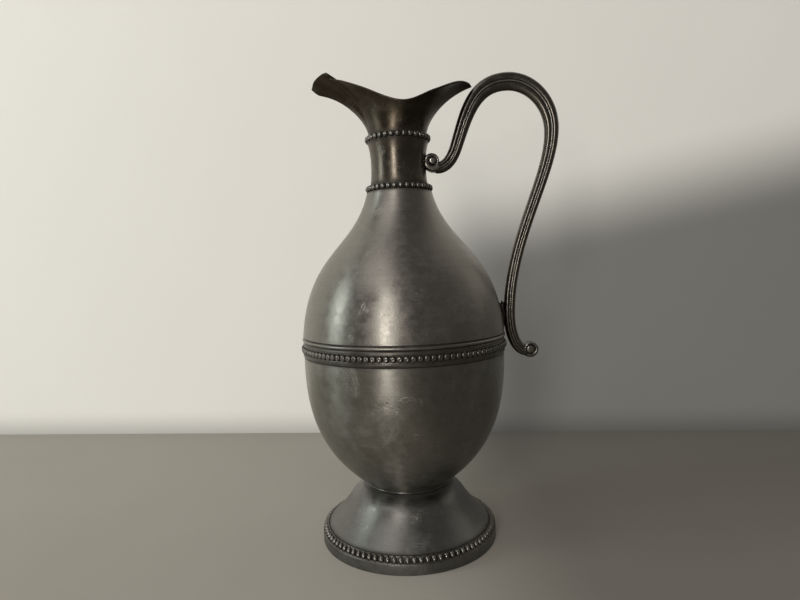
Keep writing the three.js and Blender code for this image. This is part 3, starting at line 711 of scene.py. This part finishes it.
# %% [markdown]
# The mouth is a casting that opens from a round collar to a free rim. Its rim is one closed curve through a
# few named places: the tip of the pouring lip, the two ears beside it, the notch and saddle behind them, and
# the rear tongue. Each column of the wall climbs from the collar to the rim on a Bezier curve of its own,
# and the rim is rolled over a small half round. A subdivision surface could do it too, but the rim
# would then be harder to hold on the photographed outline.

# %% Mouth rim
SPOUT_REACH = 58 * MM
SPOUT_TIP_RISE = 35.6 * MM
EAR_INSET = 10.5 * MM
EAR_RISE = 42.4 * MM
EAR_HALF_WIDTH = 11 * MM
SADDLE_RISE = 19.8 * MM
SADDLE_HALF_WIDTH = 24.5 * MM
SADDLE_OFFSET = 4.7 * MM
TONGUE_REACH = 51.4 * MM
TONGUE_RISE = 34.2 * MM
TONGUE_HALF_WIDTH = 9 * MM


def rim_places():
    tip = -SPOUT_REACH
    notch = NECK_TOP + EAR_RISE
    tongue = NECK_TOP + TONGUE_RISE
    saddle = NECK_TOP + SADDLE_RISE
    return [Vector(place) for place in (
        (tip, 0, NECK_TOP + SPOUT_TIP_RISE),
        (tip + EAR_INSET * 0.3, EAR_HALF_WIDTH * 0.65, NECK_TOP + SPOUT_TIP_RISE + 3.4 * MM),
        (tip + EAR_INSET, EAR_HALF_WIDTH, notch),
        (tip + EAR_INSET * 1.3, EAR_HALF_WIDTH, notch - 3.4 * MM),
        (tip + 2 * EAR_INSET, EAR_HALF_WIDTH * 1.2, notch - 5.9 * MM),
        (-SADDLE_HALF_WIDTH, SADDLE_HALF_WIDTH * 0.73, saddle + 11.5 * MM),
        (SADDLE_OFFSET, SADDLE_HALF_WIDTH, saddle),
        (TONGUE_REACH / 2, SADDLE_HALF_WIDTH * 0.82, tongue - 7 * MM),
        (TONGUE_REACH - TONGUE_HALF_WIDTH, TONGUE_HALF_WIDTH * 1.25, tongue),
        (TONGUE_REACH - TONGUE_HALF_WIDTH / 4, TONGUE_HALF_WIDTH * 0.5, tongue + 0.8 * MM),
        (TONGUE_REACH, 0, tongue),
    )]


def smooth_through(places, steps):
    ends = [2 * places[0] - places[1], *places, 2 * places[-1] - places[-2]]
    curve = []
    for k in range(1, len(ends) - 2):
        near_knots = ends[k - 1:k + 3]
        times = [0.0]
        for first, second in zip(near_knots, near_knots[1:]):
            times.append(times[-1] + (second - first).length ** 0.5)
        for step in range(steps):
            now = times[1] + (times[2] - times[1]) * step / steps
            curve.append(pyramid(near_knots, times, now))
    return [*curve, places[-1]]


def pyramid(knots, times, now):
    def mix(first, second, start, end):
        return first * ((end - now) / (end - start)) + second * ((now - start) / (end - start))

    low = [mix(knots[k], knots[k + 1], times[k], times[k + 1]) for k in range(3)]
    high = [mix(low[k], low[k + 1], times[k], times[k + 2]) for k in range(2)]
    return mix(high[0], high[1], times[1], times[2])


def even_steps(curve, count):
    lengths = [0.0]
    for first, second in zip(curve, curve[1:]):
        lengths.append(lengths[-1] + (second - first).length)
    placed, k = [], 0
    for step in range(count + 1):
        goal = lengths[-1] * step / count
        while k < len(curve) - 2 and lengths[k + 1] < goal:
            k += 1
        share = (goal - lengths[k]) / (lengths[k + 1] - lengths[k])
        placed.append(curve[k].lerp(curve[k + 1], share))
    return placed


half_rim = even_steps(smooth_through(rim_places(), 24), 110)
RIM = half_rim + [Vector((place.x, -place.y, place.z)) for place in half_rim[-2:0:-1]]
print("rim length", round(sum((a - b).length for a, b in zip(RIM, RIM[1:])), 4))

# %% Mouth wall
MOUTH_RADIUS = NECK_TOP_RADIUS - 1.1 * MM
MOUTH_COLLAR = 2.9 * MM
MOUTH_WALL = 1.5 * MM
MOUTH_ROWS = 30
LIP_CURL = 2.2 * MM
LIP_CURL_START = 0.92


def lip_drop(share, rim):
    lip = min(1.0, max(0.0, (-rim.x / SPOUT_REACH - 0.8) / 0.2))
    if share < LIP_CURL_START:
        return LIP_CURL * lip * (share / LIP_CURL_START) ** 6
    return LIP_CURL * lip * (1 - ((share - LIP_CURL_START) / (1 - LIP_CURL_START)) ** 2)


def mouth_column(rim):
    angle = math.atan2(1.6 * rim.y, rim.x)
    around = Vector((math.cos(angle), math.sin(angle), 0))
    up = Vector((0, 0, 1))
    base = NECK_TOP + MOUTH_COLLAR
    foot = around * MOUTH_RADIUS + up * base
    reach = math.hypot(rim.x, rim.y) - MOUTH_RADIUS
    rise = rim.z - base
    leave = foot + around * reach * 0.03 + up * rise * 0.31
    outward = Vector((rim.x, rim.y, 0)).normalized()
    arrive = rim - outward * reach * 0.61 - up * rise * 0.21
    column = bezier(foot, leave, arrive, rim, MOUTH_ROWS)
    column = [place - up * lip_drop(k / MOUTH_ROWS, rim) for k, place in enumerate(column)]
    return [around * MOUTH_RADIUS + up * NECK_TOP, *column]


def mouth_normals(columns):
    count, rows = len(columns), len(columns[0])
    normals = []
    for k in range(count):
        line = []
        for row in range(rows):
            up = columns[k][min(row + 1, rows - 1)] - columns[k][max(row - 1, 0)]
            across = columns[(k + 1) % count][row] - columns[k - 1][row]
            line.append(up.cross(across).normalized())
        normals.append(line)
    outward = normals[0][0].dot(columns[0][0] - Vector((0, 0, columns[0][0].z)))
    return normals if outward > 0 else [[-normal for normal in line] for line in normals]


def rolled_rim(edge, normal, up):
    radius = MOUTH_WALL * 0.55
    centre = edge - normal * MOUTH_WALL / 2
    roll = []
    for step in range(1, 9):
        turn = math.pi * step / 9
        roll.append(centre + (normal * math.cos(turn) + up * math.sin(turn)) * radius)
    return roll


def mouth_mesh():
    columns = [mouth_column(rim) for rim in RIM]
    normals = mouth_normals(columns)
    corners, faces, patina_shade_sheen, rows = [], [], [], 0
    for column, line in zip(columns, normals):
        up = (column[-1] - column[-2]).normalized()
        inner = [place - normal * MOUTH_WALL for place, normal in zip(column, line)]
        ring = [*column, *rolled_rim(column[-1], line[-1], up), *inner[::-1]]
        rows = len(ring)
        corners.extend(ring)
        patina_shade_sheen.extend([mouth_shade_and_patina(index, len(column), rows) for index in range(rows)])
    for k in range(len(columns)):
        other = (k + 1) % len(columns)
        for row in range(rows):
            above = (row + 1) % rows
            faces.append((k * rows + row, other * rows + row, other * rows + above, k * rows + above))
    return corners, faces, patina_shade_sheen


# Darkened at the collar where the mouth meets the neck and, more and more with depth, on the inside of the mouth:
# patina and painted shade.
def mouth_shade_and_patina(index, wall_rows, rows):
    if index < wall_rows:
        return 0.7 * max(0, 1 - index / 5)
    if index < rows - wall_rows:
        return 0.0
    depth = (index - (rows - wall_rows)) / wall_rows
    return min(1.0, 0.45 + 0.6 * depth)


mouth = mesh_piece("mouth_cast", *mouth_mesh(), sharp=60)
fit(mouth, "mouth", MOUTH)

# %% [markdown]
# The handle is one casting. Its bar follows five Bezier stretches in the ewer's middle plane, and its
# section has a broad outer reed, a thin raised ridge between two grooves and a softer inner reed on each
# side face. The section is swept as rings of points, which keeps the reeds unbroken round every bend.

# %% Handle path
HANDLE_TOP = flat(77 * MM, 315 * MM)
HANDLE_OUTER = flat(106.6 * MM, 281.6 * MM)
HANDLE_SLIM = 8 * MM
HANDLE_WIDE = 12.6 * MM
HANDLE_THICK = 7.4 * MM
UPPER_EYE = flat(23.82 * MM, 261.8 * MM)
LOWER_EYE = flat(88.3 * MM, 129.4 * MM)
LOW_PAD = flat(BODY_RADIUS + 2 * MM + HANDLE_SLIM * 0.42, MOULDING_TOP + 11 * MM)


def handle_path():
    start = UPPER_EYE + flat(2 * MM, -4 * MM)
    rise = UPPER_EYE + flat(17 * MM, 11.4 * MM)
    end = LOWER_EYE + flat(-2 * MM, -1.1 * MM)
    top, outer, low = HANDLE_TOP, HANDLE_OUTER, LOW_PAD
    legs = (
        (start, start + flat(8 * MM, -1 * MM), rise - flat(2.5 * MM, 8 * MM), rise),
        (rise, rise + flat(7 * MM, 20 * MM), top - flat(24 * MM, 0), top),
        (top, top + flat(15 * MM, 0), outer + flat(0, 19.5 * MM), outer),
        (outer, outer - flat(0, 32 * MM), low + flat(0, 52 * MM), low),
        (low, low - flat(0, 12 * MM), end - flat(8 * MM, -1 * MM), end),
    )
    path = [legs[0][0]]
    for leg in legs:
        path.extend(bezier(*leg, 60)[1:])
    return even_steps(path, 260)


PATH = handle_path()
print("handle bar length", round(sum((a - b).length for a, b in zip(PATH, PATH[1:])), 4))

# %% Handle section
def smooth_bump(at, centre, width):
    return math.exp(-(((at - centre) / width) ** 2))


SIDE_STEPS = 90
REEDS = ((0.55, 0.47, 1.0), (-0.05, 0.14, 0.94), (-0.6, 0.42, 0.9))
BAR_CORE = 0.7


def side_height(at, ridge):
    crown = (1 - abs(at) ** 3) ** 0.5 if abs(at) < 1 else 0.0
    height = BAR_CORE
    for centre, half, tall in REEDS:
        inside = 1 - ((at - centre - ridge) / half) ** 2
        if inside > 0:
            height = max(height, BAR_CORE + (tall - BAR_CORE) * inside ** 0.5)
    return crown * height


# The two grooves are darkened with patina and painted shade. The middle ridge is painted lighter along its crest,
# partly wear and partly a painted highlight.
def reed_shade_patina_sheen(at, ridge):
    outer, middle, inner = [centre + ridge for centre, _, _ in REEDS]
    cuts = smooth_bump(at, (outer - REEDS[0][1] + middle + REEDS[1][1]) / 2, 0.05)
    cuts += smooth_bump(at, (middle - REEDS[1][1] + inner + REEDS[2][1]) / 2, 0.05)
    return min(1.0, cuts) - 0.5 * smooth_bump(at, middle, 0.08)


def bar_section(ridge):
    ring = []
    for face in (1, -1):
        for k in range(SIDE_STEPS):
            even = 1 - 2 * k / SIDE_STEPS
            at = (0.75 * even + 0.25 * math.sin(even * math.pi / 2)) * face
            ring.append((at, face * side_height(at, ridge), reed_shade_patina_sheen(at, ridge)))
    return ring


def bar_width(share):
    bulge = math.exp(-(((share - 0.3) / 0.17) ** 2))
    return HANDLE_SLIM + (HANDLE_WIDE - HANDLE_SLIM) * bulge


def ring_skin(rings, closed_ends=True):
    count = len(rings[0])
    corners = [place for ring in rings for place in ring]
    faces = []
    for row in range(len(rings) - 1):
        for k in range(count):
            other = (k + 1) % count
            faces.append((row * count + k, row * count + other, (row + 1) * count + other, (row + 1) * count + k))
    if closed_ends:
        faces.append(tuple(range(count))[::-1])
        faces.append(tuple(range((len(rings) - 1) * count, len(rings) * count)))
    return corners, faces


def handle_bar():
    rings, patina_shade_sheen = [], []
    last = len(PATH) - 1
    for k, here in enumerate(PATH):
        along = (PATH[min(k + 1, last)] - PATH[max(k - 1, 0)]).normalized()
        across = flat(-along.y, along.x)
        share = k / last
        ridge = 0.04 - 0.08 * share
        half = bar_width(share) / 2
        ring = []
        for at, out, patina_shade_sheen_level in bar_section(ridge):
            place = here + across * at * half
            ring.append(Vector((place.x, out * HANDLE_THICK / 2, place.y)))
            patina_shade_sheen.append(patina_shade_sheen_level)
        rings.append(ring)
    corners, faces = ring_skin(rings)
    return corners, faces, patina_shade_sheen


# %% [markdown]
# Both ends of the bar roll up into a scroll: a ribbon that winds round a raised eye. The ribbon is swept on
# a shrinking radius, and the eye is a small turned button with a groove round it. A dark web closes the
# scroll between them, as in the casting. The web, the groove and the ribbon's inner side are darkened with
# patina and painted shade; the eye's top is painted lighter, partly wear and partly a painted highlight.

# %% Handle scrolls
SCROLL_HALF = 4.2 * MM


def ribbon(eye, start, end, radii, widths, steps=56):
    rings, patina_shade_sheen = [], []
    for k in range(steps + 1):
        share = k / steps
        angle = math.radians(start + (end - start) * share)
        outer = radii[0] + (radii[1] - radii[0]) * math.sin(share * math.pi / 2)
        half = (widths[0] + (widths[1] - widths[0]) * share) / 2
        middle = outer - half
        ring = []
        for corner in range(24):
            turn = 2 * math.pi * corner / 24
            across = math.copysign(abs(math.cos(turn)) ** 0.7, math.cos(turn)) * half
            out = math.copysign(abs(math.sin(turn)) ** 0.45, math.sin(turn)) * SCROLL_HALF
            place = eye + flat(math.cos(angle), math.sin(angle)) * (middle + across)
            ring.append(Vector((place.x, out, place.y)))
            # The ribbon's inner side is darkened with patina and painted shade; its flat faces are a little lighter,
            # partly wear and partly a painted sheen.
            patina_shade_sheen.append(max(0.0, -math.cos(turn)) ** 2 - 0.2 * abs(math.sin(turn)) ** 6)
        rings.append(ring)
    corners, faces = ring_skin(rings)
    return corners, faces, patina_shade_sheen


def eye_button(eye, radius, rise, web):
    half = SCROLL_HALF
    profile = [flat(0.01 * MM, half + rise)]
    profile += bezier(flat(radius * 0.3, half + rise), flat(radius * 0.75, half + rise),
                      flat(radius * 0.98, half + rise * 0.4), flat(radius, half - 0.9 * MM), 8)
    profile += [flat(radius + 0.25 * MM, half - 1.3 * MM), flat(web, half - 1.2 * MM)]
    outline = profile + [flat(point.x, -point.y) for point in reversed(profile)]
    corners, faces, patina_shade_sheen = [], [], []
    rows = len(outline)
    for k in range(48):
        turn = 2 * math.pi * k / 48
        for row, (reach, out) in enumerate(outline):
            corners.append(Vector((eye.x + reach * math.cos(turn), out, eye.y + reach * math.sin(turn))))
            # The top of the eye is painted lighter, partly wear and partly a painted highlight; the groove and web
            # are darkened with patina and painted shade.
            patina_shade_sheen.append(-0.3 if reach < radius * 0.97 else 1.0)
            other = (k + 1) % 48
            above = (row + 1) % rows
            faces.append((k * rows + row, k * rows + above, other * rows + above, other * rows + row))
    return corners, faces, patina_shade_sheen


upper_turn = UPPER_EYE + flat(-0.4 * MM, 0.3 * MM)
lower_turn = LOWER_EYE + flat(0.7 * MM, 0)
upper_ribbon = ribbon(upper_turn, 318, -60, (8.4 * MM, 4.6 * MM), (5.6 * MM, 1.3 * MM), 90)
upper_button = eye_button(upper_turn, 2.7 * MM, 0.7 * MM, 4.2 * MM)
lower_ribbon = ribbon(lower_turn, 232, 560, (6.2 * MM, 4.9 * MM), (3.6 * MM, 1.4 * MM), 90)
lower_button = eye_button(lower_turn - flat(0.7 * MM, 0), 2.9 * MM, 0.8 * MM, 4.3 * MM)
handle_parts = joined(handle_bar(), upper_ribbon, upper_button, lower_ribbon, lower_button)
handle = mesh_piece("handle_reeded_casting", *handle_parts, sharp=55)
fit(handle, "handle", HANDLE)

# %% [markdown]
# Solder holds the handle to the neck and to the shoulder. It is a lump that has run and frozen, so it is a
# ball squeezed between the two surfaces with some noise on it, and not a neat block.

# %% Solder pads
def solder_lump(name, node, half_size, rough):
    low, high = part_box(node)
    centre = (Vector(low) + Vector(high)) / 2 - AXIS
    corners, faces, patina_shade_sheen = [], [], []
    rings, sides = 18, 32
    for ring in range(rings + 1):
        polar = math.pi * ring / rings
        for k in range(sides):
            turn = 2 * math.pi * k / sides
            out = Vector((math.sin(polar) * math.cos(turn), math.sin(polar) * math.sin(turn), math.cos(polar)))
            swell = 1 + rough * noise.noise(out * 2.3 + Vector((centre.z * 90, 0, 0)))
            corners.append(centre + Vector([a * b * swell for a, b in zip(out, half_size)]))
            patina_shade_sheen.append(0.5)
    for ring in range(rings):
        for k in range(sides):
            other = (k + 1) % sides
            faces.append((ring * sides + k, (ring + 1) * sides + k, (ring + 1) * sides + other, ring * sides + other))
    lump = mesh_piece(name, corners, faces, patina_shade_sheen)
    fit(lump, node, SOLDER)


solder_lump("upper_handle_pad_lump", "upper_handle_pad", (2 * MM, 3.3 * MM, 3.4 * MM), 0.25)
solder_lump("lower_handle_pad_lump", "lower_handle_pad", (2.7 * MM, 3.4 * MM, 9.5 * MM), 0.3)
for hidden_fillet in ("foot_solder", "waist_solder"):
    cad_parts[hidden_fillet].data.materials.clear()
    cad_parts[hidden_fillet].data.materials.append(SOLDER)

# %% [markdown]
# The ewer stands on a plain table before a plain wall. Both are stage, not part of the object. The wall is
# one-sided: seen from behind it is clear, so the ewer can be looked at from every side. Both carry a painted
# shadow, darker to the right of the ewer, and a painted glow that only the camera and reflections see.

# %% Table and wall
# Painted shadow on the table: darker to the right of the ewer.
def table_shade(across, height):
    return 1 - across.between(-0.03, 0.1) * 0.5


# Painted shadow on the wall: darker low down on the right below a sloping edge, and in a strip at the wall's foot.
def wall_shade(across, height):
    lit = (height - across * 0.2).between(0.16, 0.27)
    corner = height.between(-0.01, 0.03) * 0.45 + 0.55
    return (1 - (1 - lit) * across.between(-0.08, 0.12) * 0.74) * corner


def plain_finish(name, light, dark, shade, one_sided=False, painted_glow=0.0):
    finish = Finish(name)
    cloudy = finish.cloud(finish.place(), 3, 4)
    across, _, height = apart(finish, finish.place())
    share = shade(across, height)
    paint = finish.blend(cloudy.between(0.3, 0.7), dark, light)
    # The painted shadow darkens the paint towards black.
    paint = finish.blend(share, rgb(0, 0, 0), paint)
    grain = finish.cloud(finish.place(), 900, 3)
    relief = finish.node("ShaderNodeBump", inputs={"Height": grain, "Strength": 0.1, "Distance": 0.0002})
    shader = finish.node("ShaderNodeBsdfPrincipled", inputs={
        "Base Color": paint, "Roughness": 0.75, "Normal": relief})
    # Painted glow: the paint also glows for camera and glossy rays, dimmed by the same painted shadow.
    if painted_glow:
        path = finish.tree.nodes.new("ShaderNodeLightPath")
        seen = Signal(finish, path.outputs["Is Camera Ray"]).at_least(Signal(finish, path.outputs["Is Glossy Ray"]))
        tint = finish.blend(seen * share, rgb(0, 0, 0), light)
        glow = finish.node("ShaderNodeEmission", inputs={"Color": tint, "Strength": painted_glow})
        shader = finish.node("ShaderNodeAddShader", inputs={0: shader, 1: glow})
    if one_sided:
        clear = finish.node("ShaderNodeBsdfTransparent")
        behind = finish.node("ShaderNodeNewGeometry", output="Backfacing")
        shader = finish.node("ShaderNodeMixShader", inputs={0: behind, 1: shader, 2: clear})
    finish.node("ShaderNodeOutputMaterial", inputs={"Surface": shader})
    return finish.material


def sheet(name, corners, finish):
    mesh = bpy.data.meshes.new(name)
    mesh.from_pydata(corners, [], [(0, 1, 2, 3)])
    mesh.materials.append(finish)
    made = bpy.data.objects.new(name, mesh)
    bpy.context.collection.objects.link(made)
    return made


TABLE_PAINT = plain_finish("table_paint", rgb(0.4, 0.375, 0.33), rgb(0.37, 0.345, 0.3), table_shade, painted_glow=0.14)
WALL_PAINT = plain_finish("wall_paint", rgb(0.76, 0.74, 0.69), rgb(0.73, 0.71, 0.66), wall_shade, True, 0.34)
WALL_LEFT = Vector((-0.496 + AXIS.x, 0.285, 0))
WALL_RIGHT = Vector((0.426 + AXIS.x, 0.205, 0))
run = (WALL_RIGHT - WALL_LEFT).normalized()
far_left = WALL_LEFT - run * 2
far_right = WALL_RIGHT + run * 2
rise = Vector((0, 0, 2.2))
sheet("table_top", [(-3, -3, 0), (3, -3, 0), (3, 3, 0), (-3, 3, 0)], TABLE_PAINT)
sheet("wall", [far_left, far_right, far_right + rise, far_left + rise], WALL_PAINT)

# %% [markdown]
# The light is that of a room with windows to the front left: a tall cool one far to the left and a warmer
# one almost behind the viewer. On polished metal these two are seen as the upright streaks on the body. The
# room itself is dim, so the right side of the ewer stays dark.

# %% Light
def window(name, azimuth, height, distance, size, power, colour):
    data = bpy.data.lights.new(name, "AREA")
    data.shape = "RECTANGLE"
    data.size, data.size_y = size
    data.energy = power
    data.color = colour
    lamp = bpy.data.objects.new(name, data)
    turn = math.radians(azimuth)
    lamp.location = AXIS + Vector((math.sin(turn) * distance, -math.cos(turn) * distance, height))
    aim = AXIS + Vector((0, 0, 0.15)) - lamp.location
    lamp.rotation_euler = aim.to_track_quat("-Z", "Y").to_euler()
    bpy.context.collection.objects.link(lamp)
    return lamp


window("left_window", -80, 0.62, 1.5, (0.34, 0.8), 5, (0.9, 1.0, 0.96))
window("front_window", -19, 0.55, 1.6, (0.24, 0.9), 9, (1.0, 0.96, 0.9))
window("soft_overhead", -50, 1.9, 1.2, (1.2, 1.2), 6, (1.0, 0.97, 0.93))

world = bpy.data.worlds.new("dim_room")
bpy.context.scene.world = world
world.use_nodes = True
backdrop = world.node_tree.nodes["Background"]
backdrop.inputs["Color"].default_value = rgb(0.33, 0.32, 0.3)
backdrop.inputs["Strength"].default_value = 0.45

# %% [markdown]
# The camera stands where the photograph was taken from: close, a little above the neck's foot, tipped down
# slightly and rolled a little. These values were found from the ellipses of the ewer's rings.

# %% Camera
CAMERA_PLACE = AXIS + Vector((-1.87 * MM, -400 * MM, 190.4 * MM))
CAMERA_DOWN = math.radians(3.42)
CAMERA_ROLL = math.radians(1.78)
FOCAL_WIDTHS = 568.9 / 800

camera_data = bpy.data.cameras.new("camera")
camera_data.sensor_width = 36
camera_data.lens = FOCAL_WIDTHS * 36
camera_data.clip_start = 0.01
camera = bpy.data.objects.new("camera", camera_data)
bpy.context.collection.objects.link(camera)
pitch = Matrix.Rotation(math.pi / 2 - CAMERA_DOWN, 4, "X")
camera.matrix_world = Matrix.Translation(CAMERA_PLACE) @ pitch @ Matrix.Rotation(-CAMERA_ROLL, 4, "Z")
bpy.context.scene.camera = camera
bpy.context.scene.view_settings.view_transform = "Standard"
